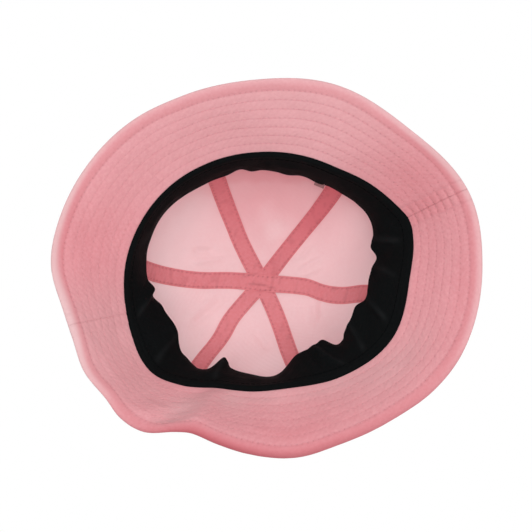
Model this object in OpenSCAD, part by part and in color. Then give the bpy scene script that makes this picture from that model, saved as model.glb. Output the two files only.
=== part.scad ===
// Soft six-panel bucket hat, standing on its brim with the crown up.
// Origin: middle of the brim's outline, at the height of its lowest edge.
// +Z points up through the crown, -Y to the wearer's front, +X to the wearer's left.
// Every angle is in degrees from +X, counter-clockwise seen from above, so the back is at 90.
// Every layer of cloth is drawn from the same few curves and stands off them by its own distance.

/* [Brim] */
// Width of the brim along the cloth, from the crown seam to the rim
brim_w = 58; // [52:1:70]
// Rows of topstitching round the brim
brim_rows = 7; // [1:1:7]
// Distance of the outermost row from the rim
edge_row = 8; // [4:0.5:8]
// Distance between rows
row_pitch = 7; // [4:0.5:7]
// How far the rim lifts between the three places where it rests
rim_lift = 3; // [0:0.5:6]

/* [Crown] */
// Height of the crown's top over the surface that the hat stands on
crown_top = 130; // [115:1:145]
// Squareness of the crown's side view: 2 is round, more is boxier
crown_square = 2.6; // [2:0.1:3.5]
// Distance of each row of topstitching from its crown seam
topstitch_gap = 5; // [3:0.5:8]

/* [Sweatband, tapes and label] */
// Height of the folded sweatband along the cloth
band_h = 34; // [31:1:40]
// Thickness of the folded sweatband
band_t = 1.4; // [0.8:0.1:1.6]
// Width of the tapes over the crown seams
tape_w = 12; // [9:0.5:14]
// Width of the care label
label_w = 7.5; // [5:0.5:8]
// Length of the care label from its sewn edge
label_l = 39; // [37:1:42]
// How far the care label leans in from upright, against the back of the sweatband
label_lean = 14.5; // [14:0.5:16]

/* [Cloth and thread] */
// Thickness of the cotton twill
cloth_t = 0.7; // [0.4:0.1:0.7]
// Thickness of the brim's stiff interlining
interlining_t = 0.7; // [0.4:0.1:0.7]
// Thickness of the seam tape
tape_t = 0.6; // [0.3:0.1:0.6]
// Thickness of the care label, folded double
label_t = 0.4; // [0.2:0.1:0.4]
// Thickness of the sewing thread
thread_t = 0.4; // [0.2:0.1:0.5]

/* [Hidden] */

pink = [0.85, 0.55, 0.58];
pale_pink = [0.91, 0.71, 0.73];
tape_pink = [0.80, 0.45, 0.49];
thread_pink = [0.74, 0.42, 0.46];
black = [0.06, 0.06, 0.06];
canvas = [0.90, 0.88, 0.84];
label_grey = [0.45, 0.36, 0.36];

// The soft outlines as the hat lies at rest: [angle, distance from the middle]
RIM = [
    [0, 138], [20, 137.5], [45, 136.5], [58, 133], [70, 128], [80, 125.5], [90, 124.3], [103, 125.5],
    [118, 122.8], [128, 120.8], [135, 120.5], [140, 125], [147, 135.5], [154, 138.8], [161, 137.5],
    [170, 139.3], [179, 137.3], [188, 138.3], [200, 143.2], [212, 141.5], [235, 135], [247, 131],
    [262, 125.3], [285, 122], [310, 126], [335, 127.5]
];
OPENING = [
    [0, 100.5], [8, 99], [25, 93.5], [50, 94], [75, 87], [100, 81], [122, 84], [135, 88.5], [148, 99],
    [160, 107], [175, 104.5], [200, 99], [230, 91.5], [260, 84.5], [290, 80.5], [320, 82],
    [340, 90.5], [352, 96],
];
// How far the sweatband's free edge leans in from the opening: [angle, lean]
BAND_LEAN = [
    [0, 24], [20, 24.5], [35, 27.5], [55, 28], [70, 23.5], [80, 26], [92, 22.5], [105, 10.5],
    [125, 12.5], [140, 18.5], [157, 20.5], [168, 28], [180, 23.5], [195, 15.5], [210, 8.5],
    [230, 7], [250, 8.5], [275, 7.5], [300, 10], [325, 11], [345, 13],
];
// Where the six crown seams meet the opening
LEFT_SEAM = 31;
BACK_SEAM = 93;
BACK_RIGHT_SEAM = 147;
RIGHT_SEAM = 201;
FRONT_SEAM = 260.5;
FRONT_LEFT_SEAM = 325.5;
// Each crown seam with the angles of the panels before and after it
SEAMS = [
    [LEFT_SEAM, LEFT_SEAM + 360 - FRONT_LEFT_SEAM, BACK_SEAM - LEFT_SEAM],
    [BACK_SEAM, BACK_SEAM - LEFT_SEAM, BACK_RIGHT_SEAM - BACK_SEAM],
    [BACK_RIGHT_SEAM, BACK_RIGHT_SEAM - BACK_SEAM, RIGHT_SEAM - BACK_RIGHT_SEAM],
    [RIGHT_SEAM, RIGHT_SEAM - BACK_RIGHT_SEAM, FRONT_SEAM - RIGHT_SEAM],
    [FRONT_SEAM, FRONT_SEAM - RIGHT_SEAM, FRONT_LEFT_SEAM - FRONT_SEAM],
    [FRONT_LEFT_SEAM, FRONT_LEFT_SEAM - FRONT_SEAM, LEFT_SEAM + 360 - FRONT_LEFT_SEAM],
];
// The two side seams of the brim, wearer's left and right
BRIM_SEAM_LEFT = 359;
BRIM_SEAM_RIGHT = 183;
// Where the care label is sewn in
LABEL_ANGLE = 318;
// Plan position of the crown's top, where the six seams meet
APEX = [-7, 1];

// One of the three places where the rim rests
rest_angle = 40;
// Height of the brim's middle layer where the rim rests, so that its under side is at zero
rim_foot = 0.85;
// Clear space between two layers of cloth, and between sewn edges along a seam
layer_gap = 0.1;
// Angle left between two pieces that are sewn edge to edge
seam_gap_angle = 0.08;
// Space between the crown's inner face and the sweatband's back at the seam, for tapes and label
band_gap = 1.5;
// The sweatband's sewn edge hangs this far below the crown seam
band_overlap = 0.5;

// Steps across one crown panel, round half of the brim, and round the whole sweatband
panel_steps = 8;
brim_steps = 24;
band_steps = 48;
// Rows of facets up the crown, from just over the seam at 0 towards the top at 1
LOW_ROW = 0.003;
SIDE_ROWS = [0.1, 0.2, 0.3, 0.4, 0.5, 0.6, 0.7, 0.8, 0.9, 0.95];
CROWN_ROWS = concat(LOW_ROW, SIDE_ROWS, 0.996);
TAPE_ROWS = concat(LOW_ROW, SIDE_ROWS, 0.985);
// Rows of facets across the brim, from the crown seam at 0 to the rim at 1, one at each stitch row
STITCH_FRACTIONS = [for (row = [brim_rows - 1:-1:0]) 1 - (edge_row + row * row_pitch) / brim_w];
BRIM_FRACTIONS = concat(0, STITCH_FRACTIONS, 1);
// Rows of facets up the sweatband, the second along its stitching
band_stitch_row = 0.12;
BAND_FRACTIONS = [0, band_stitch_row, 0.4, 0.7, 1];

// ---- Curves round the hat ----

// The i-th point of a ring, counting on past its end or back before its start
function ring_point(ring, i) =
    let (n = len(ring))
    [ring[(i + n) % n][0] + 360 * floor(i / n), ring[(i + n) % n][1]];

// Value at an angle of the smooth closed curve through the ring's points
function around(ring, angle) =
    let (
        a = angle - 360 * floor(angle / 360),
        i = len([for (p = ring) if (p[0] <= a) 1]) - 1,
        before = ring_point(ring, i - 1),
        from = ring_point(ring, i),
        to = ring_point(ring, i + 1),
        after = ring_point(ring, i + 2),
        span = to[0] - from[0],
        t = (a - from[0]) / span,
        slope_from = (to[1] - before[1]) / (to[0] - before[0]) * span,
        slope_to = (after[1] - from[1]) / (after[0] - from[0]) * span
    )
    from[1] * (1 + 2 * t) * pow(1 - t, 2) + slope_from * t * pow(1 - t, 2)
        + to[1] * t * t * (3 - 2 * t) + slope_to * t * t * (t - 1);

// What every layer needs to know at one angle:
// outward direction, opening radius, opening height, rim radius, rim height, sweatband lean
function station(angle) =
    let (
        opening_r = around(OPENING, angle),
        rim_r = around(RIM, angle),
        drop = sqrt(pow(brim_w, 2) - pow(rim_r - opening_r, 2)),
        rim_z = rim_foot + rim_lift * (1 - cos(3 * (angle - rest_angle))) / 2
    )
    [[cos(angle), sin(angle)], opening_r, rim_z + drop, rim_r, rim_z, around(BAND_LEAN, angle)];

function stations(from, to, steps) = [for (i = [0:steps]) station(from + (to - from) * i / steps)];

function place(s, r, z) = [s[0].x * r, s[0].y * r, z];

// Point on the crown: v is 0 at the seam and 1 at the top, off is outward from the outer face
function crown_point(s, v, off) =
    let (
        h = crown_top - s[2],
        across = pow(cos(90 * v), 2 / crown_square),
        up = pow(sin(90 * v), 2 / crown_square),
        normal_r = pow(across, crown_square - 1) / s[1],
        normal_z = pow(up, crown_square - 1) / h,
        k = off / norm([normal_r, normal_z]),
        r = s[1] * across + k * normal_r
    )
    [s[0].x * r + APEX.x * (1 - across), s[0].y * r + APEX.y * (1 - across), s[2] + h * up + k * normal_z];

// Point on the brim: t is 0 at the crown seam and 1 at the rim, off is up from the middle layer
function brim_point(s, t, off) =
    let (run = s[3] - s[1], fall = s[2] - s[4])
    place(s, s[1] + run * t + off * fall / brim_w, s[2] - fall * t + off * run / brim_w);

// Point on the sweatband: u is 0 at its sewn edge and 1 at its free edge, off is in from its back
function band_point(s, u, off) =
    let (
        sewn_r = s[1] - cloth_t - band_gap,
        inward = s[5] - cloth_t - band_gap,
        rise = sqrt(pow(band_h, 2) - pow(inward, 2))
    )
    place(s, sewn_r - inward * u - off * rise / band_h, s[2] - band_overlap + rise * u - off * inward / band_h);

// Point beside a crown seam: d is the distance to the seam's side, along the panel's own facet
function beside_seam(seam, panel_angle, d, v, off) =
    let (
        on = crown_point(station(seam), v, off),
        next = crown_point(station(seam + sign(d) * panel_angle / panel_steps), v, off)
    )
    d == 0 ? on : on + (next - on) / norm(next - on) * abs(d);

// ---- Solids from cross-sections ----

// Joins a row of cross-sections into one solid. Each section lists its points out along one
// face and back along the other, counter-clockwise looking along the row. The triangles of the
// two faces run the same way, so that layers lie parallel.
module sweep(sections, closed = false) {
    n = len(sections);
    m = len(sections[0]);
    last = (n - 1) * m;
    sides = [for (i = [0:(closed ? n : n - 1) - 1], j = [0:m - 1])
        let (
            next = ((i + 1) % n) * m,
            a = i * m + j,
            b = i * m + (j + 1) % m,
            c = next + (j + 1) % m,
            d = next + j
        )
        each j < floor(m / 2) ? [[a, b, c], [a, c, d]] : [[a, b, d], [b, c, d]]];
    end = [for (j = [0:floor(m / 2) - 1]) each concat(
        j + 1 < m - 1 - j ? [[j, j + 1, m - 1 - j]] : [],
        j + 1 < m - 2 - j ? [[j + 1, m - 2 - j, m - 1 - j]] : [])];
    caps = closed ? [] : [for (f = end) each [[f[2], f[1], f[0]], [last + f[0], last + f[1], last + f[2]]]];
    polyhedron(points = [for (s = sections) each s], faces = concat(sides, caps), convexity = 8);
}

// ---- Crown ----

module crown_panel(from, to) {
    color(pink)
        sweep([for (s = stations(from + seam_gap_angle, to - seam_gap_angle, panel_steps)) concat(
            [for (v = CROWN_ROWS) crown_point(s, v, 0)],
            [for (i = [len(CROWN_ROWS) - 1:-1:0]) crown_point(s, CROWN_ROWS[i], -cloth_t)])]);
}

// Section of a tape across its seam, which is a row of SEAMS
function tape_section(seam, v, half_w, depth) = [
    for (d = [1, 0, -1]) beside_seam(seam[0], d > 0 ? seam[2] : seam[1], d * half_w, v, -depth),
    for (d = [-1, 0, 1]) beside_seam(seam[0], d > 0 ? seam[2] : seam[1], d * half_w, v, -depth - tape_t),
];

// Depth of a tape's outer face below the crown's outer face
tape_depth = cloth_t + 2 * layer_gap;
// Half the width of a short tape's point, as a share of its distance from the top
point_share = 0.42;
// Half the width of a short tape, which is cut to a point between its neighbours near the top
function short_half_w(seam, v) =
    min(tape_w / 2, point_share * around(OPENING, seam[0]) * pow(cos(90 * v), 2 / crown_square));

module short_tape(seam) {
    color(tape_pink)
        sweep([for (v = TAPE_ROWS) tape_section(seam, v, short_half_w(seam, v), tape_depth)]);
}

// The long tape dips under the ends of the short ones near the top
function long_depth(v) = tape_depth + (v > 0.85 ? tape_t + 2 * layer_gap : 0);

module long_tape() {
    climb = [for (v = TAPE_ROWS) tape_section(SEAMS[0], v, tape_w / 2, long_depth(v))];
    descend = [for (i = [len(TAPE_ROWS) - 1:-1:0])
        let (v = TAPE_ROWS[i], s = tape_section(SEAMS[3], v, tape_w / 2, long_depth(v)))
        [s[2], s[1], s[0], s[5], s[4], s[3]]];
    color(tape_pink)
        sweep(concat(climb, descend));
}

// ---- Brim ----

// One half of one layer of the brim, between two distances from its middle layer
module brim_layer(from, to, low, high) {
    n = len(BRIM_FRACTIONS);
    sweep([for (s = stations(from + seam_gap_angle, to - seam_gap_angle, brim_steps)) concat(
        [for (i = [n - 1:-1:0]) brim_point(s, BRIM_FRACTIONS[i], high)],
        [for (t = BRIM_FRACTIONS) brim_point(s, t, low)])]);
}

skin_low = interlining_t / 2 + layer_gap;
skin_high = skin_low + cloth_t;

module brim_top(from, to) {
    color(pink)
        brim_layer(from, to, skin_low, skin_high);
}

module brim_under(from, to) {
    color(pink)
        brim_layer(from, to, -skin_high, -skin_low);
}

// The interlining reaches both edges, where it is caught in the seams
module brim_interlining(from, to) {
    color(canvas)
        brim_layer(from, to, -interlining_t / 2, interlining_t / 2);
}

// ---- Sweatband and label ----

module sweatband() {
    n = len(BAND_FRACTIONS);
    color(black)
        sweep([for (i = [0:band_steps - 1]) let (s = station(360 * i / band_steps)) concat(
            [for (u = BAND_FRACTIONS) band_point(s, u, 0)],
            [for (k = [n - 1:-1:0]) band_point(s, BAND_FRACTIONS[k], band_t)])], closed = true);
}

// The label stands in the middle of the gap behind the sweatband, on its sewn edge
module care_label() {
    s = station(LABEL_ANGLE);
    before = station(LABEL_ANGLE - 3);
    after = station(LABEL_ANGLE + 3);
    along = place(after, after[1], 0) - place(before, before[1], 0);
    color(label_grey)
        translate(place(s, s[1] - cloth_t - band_gap / 2, s[2]))
            rotate([0, -label_lean, atan2(along.y, along.x) - 90])
                translate([-label_t / 2, -label_w / 2, 0])
                    cube([label_t, label_w, label_l]);
}

// ---- Thread ----

// Rows of stitching lie on one face of the brim, as rings of thread
module brim_thread(face) {
    ring = concat(
        [for (i = [0:brim_steps - 1])
            station(BRIM_SEAM_RIGHT + (BRIM_SEAM_LEFT - BRIM_SEAM_RIGHT) * i / brim_steps)],
        [for (i = [0:brim_steps - 1])
            station(BRIM_SEAM_LEFT + (BRIM_SEAM_RIGHT + 360 - BRIM_SEAM_LEFT) * i / brim_steps)]);
    base = skin_high + layer_gap;
    half = thread_t / 2 / brim_w;
    color(thread_pink)
        for (t = STITCH_FRACTIONS)
            sweep([for (s = ring) [
                brim_point(s, t + face * half, face * base),
                brim_point(s, t, face * (base + thread_t)),
                brim_point(s, t - face * half, face * base),
            ]], closed = true);
}

// One line of thread beside a crown seam, through rows of [v, off]; face is 1 outside, -1 inside
module seam_thread(seam, panel_angle, d, face, rows) {
    half = face * thread_t / 2;
    sweep([for (row = rows) [
        beside_seam(seam, panel_angle, d + half, row[0], row[1]),
        beside_seam(seam, panel_angle, d, row[0], row[1] + face * thread_t),
        beside_seam(seam, panel_angle, d - half, row[0], row[1]),
    ]]);
}

// Topstitching outside, a line to each side of every crown seam
module crown_topstitch() {
    rows = [for (v = concat(LOW_ROW, SIDE_ROWS)) [v, layer_gap]];
    color(thread_pink)
        for (seam = SEAMS, side = [-1, 1])
            seam_thread(seam[0], side < 0 ? seam[1] : seam[2], side * topstitch_gap, 1, rows);
}

// Stitching inside, along both edges of every tape, hidden behind the sweatband low down
module tape_stitching() {
    color(thread_pink)
        for (seam = SEAMS, side = [-1, 1])
            let (
                long = seam[0] == LEFT_SEAM || seam[0] == RIGHT_SEAM,
                rows = [for (v = SIDE_ROWS) [v, -(long ? long_depth(v) : tape_depth) - tape_t - layer_gap]]
            )
                seam_thread(seam[0], side < 0 ? seam[1] : seam[2], side * (tape_w / 2 - 1), -1, rows);
}

// Lockstitch along the sweatband's sewn edge, on the side that meets the head
module sweatband_thread() {
    u = band_stitch_row;
    half = thread_t / 2 / band_h;
    base = band_t + layer_gap;
    color(black)
        sweep([for (i = [0:band_steps - 1]) let (s = station(360 * i / band_steps)) [
            band_point(s, u + half, base),
            band_point(s, u, base + thread_t),
            band_point(s, u - half, base),
        ]], closed = true);
}

crown_panel(FRONT_LEFT_SEAM, LEFT_SEAM + 360);  // crown_panel_left
crown_panel(LEFT_SEAM, BACK_SEAM);  // crown_panel_back_left
crown_panel(BACK_SEAM, BACK_RIGHT_SEAM);  // crown_panel_back_right
crown_panel(BACK_RIGHT_SEAM, RIGHT_SEAM);  // crown_panel_right
crown_panel(RIGHT_SEAM, FRONT_SEAM);  // crown_panel_front_right
crown_panel(FRONT_SEAM, FRONT_LEFT_SEAM);  // crown_panel_front_left
long_tape();  // seam_tape_long
short_tape(SEAMS[1]);  // seam_tape_back
short_tape(SEAMS[2]);  // seam_tape_back_right
short_tape(SEAMS[4]);  // seam_tape_front
short_tape(SEAMS[5]);  // seam_tape_front_left
brim_top(BRIM_SEAM_RIGHT, BRIM_SEAM_LEFT);  // brim_top_front
brim_top(BRIM_SEAM_LEFT, BRIM_SEAM_RIGHT + 360);  // brim_top_back
brim_interlining(BRIM_SEAM_RIGHT, BRIM_SEAM_LEFT);  // brim_interlining_front
brim_interlining(BRIM_SEAM_LEFT, BRIM_SEAM_RIGHT + 360);  // brim_interlining_back
brim_under(BRIM_SEAM_RIGHT, BRIM_SEAM_LEFT);  // brim_under_front
brim_under(BRIM_SEAM_LEFT, BRIM_SEAM_RIGHT + 360);  // brim_under_back
sweatband();
care_label();
brim_thread(1);  // brim_needle_thread
brim_thread(-1);  // brim_bobbin_thread
crown_topstitch();  // crown_topstitch_thread
tape_stitching();  // tape_stitch_thread
sweatband_thread();  // sweatband_stitch_thread
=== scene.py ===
"""Looks for the soft six-panel bucket hat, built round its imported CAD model.

Every shape is worked out in millimetres and degrees from the same curves as the CAD model:
+Z up through the crown, -Y to the wearer's front, angles counter-clockwise seen from above,
so that the back of the hat is at 90. The meshes are written in metres.
"""

import math

import bpy
import numpy as np
from mathutils import Matrix, Vector

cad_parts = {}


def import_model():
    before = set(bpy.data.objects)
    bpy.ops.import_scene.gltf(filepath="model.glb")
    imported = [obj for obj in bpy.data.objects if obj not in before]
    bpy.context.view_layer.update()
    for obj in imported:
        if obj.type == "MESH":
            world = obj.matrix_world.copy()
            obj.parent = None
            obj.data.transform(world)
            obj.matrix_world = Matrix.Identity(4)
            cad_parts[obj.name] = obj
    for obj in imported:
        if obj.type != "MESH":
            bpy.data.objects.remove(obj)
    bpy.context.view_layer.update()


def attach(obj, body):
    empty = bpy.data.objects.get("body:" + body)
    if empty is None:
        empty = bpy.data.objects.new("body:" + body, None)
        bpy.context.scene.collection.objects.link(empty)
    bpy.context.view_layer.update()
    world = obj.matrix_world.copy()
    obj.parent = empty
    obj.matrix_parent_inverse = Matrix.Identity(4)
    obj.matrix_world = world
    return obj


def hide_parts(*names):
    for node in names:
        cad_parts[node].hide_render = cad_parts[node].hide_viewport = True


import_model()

# ---- Sizes that the CAD model shares ----

BRIM_W = 58.0
BRIM_ROWS = 7
EDGE_ROW = 8.0
ROW_PITCH = 7.0
RIM_LIFT = 3.0
RIM_FOOT = 1.7
REST_ANGLE = 40.0
CROWN_TOP = 130.0
CROWN_SQUARE = 2.6
APEX = (-7.0, 1.0)
TOPSTITCH_GAP = 5.0
CLOTH = 0.7
TAPE_W = 12.8
BAND_H = 34.0
BAND_GAP = 1.5
BAND_OVERLAP = 0.5
LABEL_ANGLE = 318.0
LABEL_W = 7.5
LABEL_L = 39.0
LABEL_LEAN = 14.5
BRIM_SEAMS = {"left": 359.0, "right": 183.0}

# Soft outlines as the hat lies at rest: [angle, distance from the middle]
RIM = [
    [0, 138], [20, 137.5], [45, 136.5], [58, 133], [70, 128], [80, 125.5], [90, 124.3], [103, 125.5],
    [118, 122.8], [128, 120.8], [135, 120.5], [140, 125], [147, 135.5], [154, 138.8], [161, 137.5],
    [170, 139.3], [179, 137.3], [188, 138.3], [200, 143.2], [212, 141.5], [235, 135], [247, 131],
    [262, 125.3], [285, 122], [310, 126], [335, 127.5],
]
OPENING = [
    [0, 100.5], [8, 99], [25, 93.5], [50, 94], [75, 87], [100, 81], [122, 84], [135, 88.5], [148, 99],
    [160, 107], [175, 104.5], [200, 99], [230, 91.5], [260, 84.5], [290, 80.5], [320, 82],
    [340, 90.5], [352, 96],
]
# How far the sweatband's free edge leans in from the opening: [angle, lean]
BAND_LEAN = [
    [0, 24], [20, 24.5], [35, 27.5], [55, 28], [70, 23.5], [80, 26], [92, 22.5], [105, 10.5],
    [125, 12.5], [140, 18.5], [157, 20.5], [168, 28], [180, 23.5], [195, 15.5], [210, 8.5],
    [230, 7], [250, 8.5], [275, 7.5], [300, 10], [325, 11], [345, 13],
]
# Crown seams as they lie: [height up the crown from 0 at the opening to 1 at the top, angle]
SEAMS = {
    "left": [[0, 31], [0.5, 29.5], [0.66, 32.3], [0.76, 31.8], [0.85, 27], [1, 25]],
    "back": [[0, 93], [0.55, 94], [0.75, 92.3], [0.9, 90.3], [1, 90]],
    "back_right": [[0, 147], [0.5, 148.5], [0.7, 148.7], [0.84, 152.3], [1, 153.5]],
    "right": [[0, 204], [0.5, 201], [0.75, 200.2], [0.9, 203], [1, 205]],
    "front": [[0, 261], [0.6, 259.3], [0.85, 257.4], [1, 257.5]],
    "front_left": [[0, 326.5], [0.5, 327], [0.75, 326], [1, 324.5]],
}
# How far the cloth outside the edge row has turned up: [angle, degrees turned]
MARGIN_TURN = [
    [0, 45], [35, 50], [55, 75], [75, 95], [100, 105], [125, 105], [140, 100], [150, 90],
    [160, 65], [175, 50], [210, 45], [270, 42], [320, 45],
]

# Length of a stitch and thickness of thread; a brim skin's two faces over the brim's middle; and the edge
# row's place and every row's place across the brim
STITCH = 3.6
THREAD = 0.32
SKIN = 0.95
SKIN_BACK = 0.45
EDGE_FRACTION = 1 - EDGE_ROW / BRIM_W
ROW_FRACTIONS = [1 - (EDGE_ROW + row * ROW_PITCH) / BRIM_W for row in range(BRIM_ROWS)]


# ---- Curves ----

def around(ring, angle):
    """Value at each angle of the smooth closed curve through the ring's points."""
    knots = np.array(ring, float)
    return hermite(np.concatenate([knots[-2:] - [360, 0], knots, knots[:3] + [360, 0]]), np.mod(angle, 360))


def along(line, place):
    """Value at each place of the smooth open curve through the line's points."""
    knots = np.array(line, float)
    first, last = knots[0], knots[-1]
    ends = [[first - [1, 0]], knots, [last + [1, 0], last + [2, 0]]]
    return hermite(np.concatenate(ends), np.clip(place, first[0], last[0]))


def hermite(knots, x):
    """Value at x of the smooth curve through the knots; the outermost ones only set its slopes."""
    at, value = knots.T
    i = np.clip(np.searchsorted(at, x, side="right") - 1, 1, len(at) - 3)
    span = at[i + 1] - at[i]
    slope_from = (value[i + 1] - value[i - 1]) / (at[i + 1] - at[i - 1]) * span
    slope_to = (value[i + 2] - value[i]) / (at[i + 2] - at[i]) * span
    return cubic(value[i], slope_from, value[i + 1], slope_to, (x - at[i]) / span)


def cubic(start, slope_from, end, slope_to, t):
    """The cubic from start to end with those slopes, at t from 0 to 1."""
    return (
        start * (1 + 2 * t) * (1 - t) ** 2 + slope_from * t * (1 - t) ** 2
        + end * t * t * (3 - 2 * t) + slope_to * t * t * (t - 1)
    )


def ease(low, high, x):
    """0 below low, 1 above high, and smooth between them."""
    t = np.clip((x - low) / (high - low), 0, 1)
    return t * t * (3 - 2 * t)


def dent(distance, width):
    """1 at a line and 0 away from it, about width to each side."""
    return np.exp(-(distance / width) ** 2)


def turned(angle):
    """The same direction as an angle between -180 and 180."""
    return (angle + 180) % 360 - 180


def joined(*parts):
    """Grids of single values as one grid of points."""
    return np.stack(np.broadcast_arrays(*parts), -1)


def unit(vectors):
    """The same directions, each of length 1."""
    return vectors / np.linalg.norm(vectors, axis=-1, keepdims=True)


def ripple(points, size, seed):
    """Smooth random waves from -1 to 1 through space, each about size across."""
    lattice = np.random.default_rng(seed).uniform(-1, 1, (32, 32, 32))
    p = np.asarray(points, float) / size + 100
    cell = np.floor(p).astype(int)
    f = p - cell
    f = f * f * (3 - 2 * f)
    total = 0
    for corner in np.ndindex(2, 2, 2):
        weight = np.prod([np.where(c, f[..., k], 1 - f[..., k]) for k, c in enumerate(corner)], axis=0)
        i, j, k = [(cell[..., n] + corner[n]) % 32 for n in range(3)]
        total = total + weight * lattice[i, j, k]
    return total


def crease_wave(points, size, seed):
    """Fine slanting creases, as pulled cloth has."""
    slant = points @ np.array([[0.8, 0.6, 0], [-0.6, 0.8, 0], [0, 0, 1]]).T
    return ripple(slant * [2.2, 0.8, 1.3], size, seed)


def station(angle):
    """Outward direction, opening radius and height, rim radius and height, at each angle."""
    a = np.radians(angle)
    opening_r = around(OPENING, angle)
    rim_r = around(RIM, angle)
    drop = np.sqrt(BRIM_W ** 2 - (rim_r - opening_r) ** 2)
    rim_z = RIM_FOOT + RIM_LIFT * (1 - np.cos(3 * (a - math.radians(REST_ANGLE)))) / 2
    return np.cos(a), np.sin(a), opening_r, rim_z + drop, rim_r, rim_z


def lengths(path):
    """Distance along a row of points, from its start to each of them."""
    return np.concatenate([[0], np.cumsum(np.linalg.norm(np.diff(path, axis=0), axis=1))])


# ---- Crown surface ----

# Heights v of the crown's sewn edge and of the last row before its top, and its radius on the average
SEWN_V = 0.0008
TOP_V = 0.9999
MEAN_R = 90.0


def crown_across(v):
    """How far out the crown is at height v, as a share of its reach at the opening."""
    return np.cos(np.pi / 2 * v).clip(1e-9) ** (2 / CROWN_SQUARE)


def crown_point(angle, v, off):
    """v is 0 at the opening and 1 at the top; off is outward from the crown's outer face."""
    cos_a, sin_a, opening_r, opening_z = station(angle)[:4]
    h = CROWN_TOP - opening_z
    across = crown_across(v)
    up = np.sin(np.pi / 2 * v) ** (2 / CROWN_SQUARE)
    normal_r = across ** (CROWN_SQUARE - 1) / opening_r
    normal_z = up ** (CROWN_SQUARE - 1) / h
    k = (off + crown_sag(angle, v)) / np.hypot(normal_r, normal_z)
    r = opening_r * across + k * normal_r
    return joined(
        cos_a * r + APEX[0] * (1 - across),
        sin_a * r + APEX[1] * (1 - across),
        opening_z + h * up + k * normal_z)


# Creases in the crown's cloth, seen from above: [x, y, to x, to y, width, rise]
CROWN_CREASES = [
    [-67, 13, -36, 2, 2.4, 1.5], [-69, 8, -40, -4, 2.4, -1.1], [-52, -31, -27, -26, 2.2, -1.3],
    [-47, -38, -33, -34, 2.6, 1.4], [20, 1, 43, -2, 2, -1.3], [22, 6, 40, 5, 2, 1.1],
    [24, -6, 40, -13, 2, -1.2], [25, 26, 19, 44, 2.4, 1.5], [31, 26, 26, 42, 2.2, -1],
    [-17, -44, -12, -28, 2.4, -1], [-24, 34, -20, 50, 2.6, 1.1],
]


def stroke(x, y, x0, y0, x1, y1, width):
    """1 along a straight line, fading to 0 about width to each side and at its ends."""
    length = math.hypot(x1 - x0, y1 - y0)
    share = ((x - x0) * (x1 - x0) + (y - y0) * (y1 - y0)) / length ** 2
    off_line = ((x - x0) * (y1 - y0) - (y - y0) * (x1 - x0)) / length
    return dent(off_line, width) * ease(-0.15, 0.25, share) * (1 - ease(0.7, 1.15, share))


def crown_creases(angle, v):
    """Outward height of the creases at a point of the crown."""
    cos_a, sin_a, opening_r = station(angle)[:3]
    across = crown_across(v)
    x = cos_a * opening_r * across + APEX[0] * (1 - across)
    y = sin_a * opening_r * across + APEX[1] * (1 - across)
    return sum(rise * stroke(x, y, *line) for *line, rise in CROWN_CREASES)


def crown_sag(angle, v):
    """How far the soft crown has sunk or swelled from its plain shape; it is calm behind the label."""
    a = np.radians(angle)
    across = crown_across(v)
    where = joined(MEAN_R * across * np.cos(a), MEAN_R * across * np.sin(a), 80 * v)
    wave = 1.6 * ripple(where, 46, 3) + 0.6 * ripple(where, 19, 4)
    pull = sum(
        dent(np.radians(turned(angle - seam_angle(name, v))) * MEAN_R * across, 11) for name in SEAMS)
    by_label = (1 - ease(6, 13, np.abs(turned(angle - LABEL_ANGLE)))) * (1 - ease(0.4, 0.6, v))
    sag = (wave - 0.6 - 1.2 * pull) * (1 - by_label) + 0.3 * by_label + crown_creases(angle, v)
    return sag * ease(0.02, 0.25, v) * ease(0, 0.12, 1 - v)


def seam_angle(name, v):
    """Where a crown seam is at height v."""
    return along(SEAMS[name], v)


def seam_reach(name, v):
    """How far out a crown seam is at height v, seen from above."""
    return around(OPENING, seam_angle(name, v)) * crown_across(v)


def crown_rows(step):
    """Heights v up the crown, about step millimetres apart, from its sewn edge to its top."""
    fine = np.linspace(SEWN_V, TOP_V, 3000)
    run = lengths(crown_point(np.full_like(fine, 60.0), fine, 0))
    return np.interp(np.linspace(0, run[-1], int(run[-1] / step)), run, fine)


def seam_run(name, v):
    """Distance along a crown seam from the opening to height v."""
    fine = np.linspace(SEWN_V, TOP_V, 800)
    return np.interp(v, fine, lengths(crown_point(seam_angle(name, fine), fine, 0)))


# ---- Brim surface ----

def brim_frame(angle, t):
    """Points of the brim's middle layer in profile, with the direction up out of it."""
    cos_a, sin_a, opening_r, opening_z, rim_r, rim_z = station(angle)
    run = rim_r - opening_r
    fall = opening_z - rim_z
    turn = np.radians(around(MARGIN_TURN, angle))
    reach = EDGE_ROW * np.sin(turn) / turn
    lift = EDGE_ROW * (1 - np.cos(turn)) / turn
    inner = np.clip(t / EDGE_FRACTION, 0, 1) + np.minimum(t, 0) / EDGE_FRACTION
    share = np.clip((t - EDGE_FRACTION) / (1 - EDGE_FRACTION), 0, 1)
    sag = inner.clip(0) ** 2 * (3 - 2 * inner.clip(0))
    slide = (BRIM_W - reach) * inner + EDGE_ROW * np.sin(turn * share) / turn
    off = -lift * sag + EDGE_ROW * (1 - np.cos(turn * share)) / turn
    tilt = turn * share - np.where(
        share > 0, 0, np.arctan(6 * lift * inner.clip(0) * (1 - inner.clip(0)) / (BRIM_W - reach)))
    out_r, out_z = run / BRIM_W, -fall / BRIM_W
    end_slope = np.arctan2(out_z, out_r) + turn
    raised = EDGE_ROW / turn * (1 - np.cos(end_slope.clip(0))) * t.clip(0) ** 2
    r = opening_r + slide * out_r - off * out_z
    z = opening_z + slide * out_z + off * out_r + raised
    normal_r = -out_z * np.cos(tilt) - out_r * np.sin(tilt)
    normal_z = out_r * np.cos(tilt) - out_z * np.sin(tilt)
    return cos_a, sin_a, r, z, normal_r, normal_z


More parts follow.
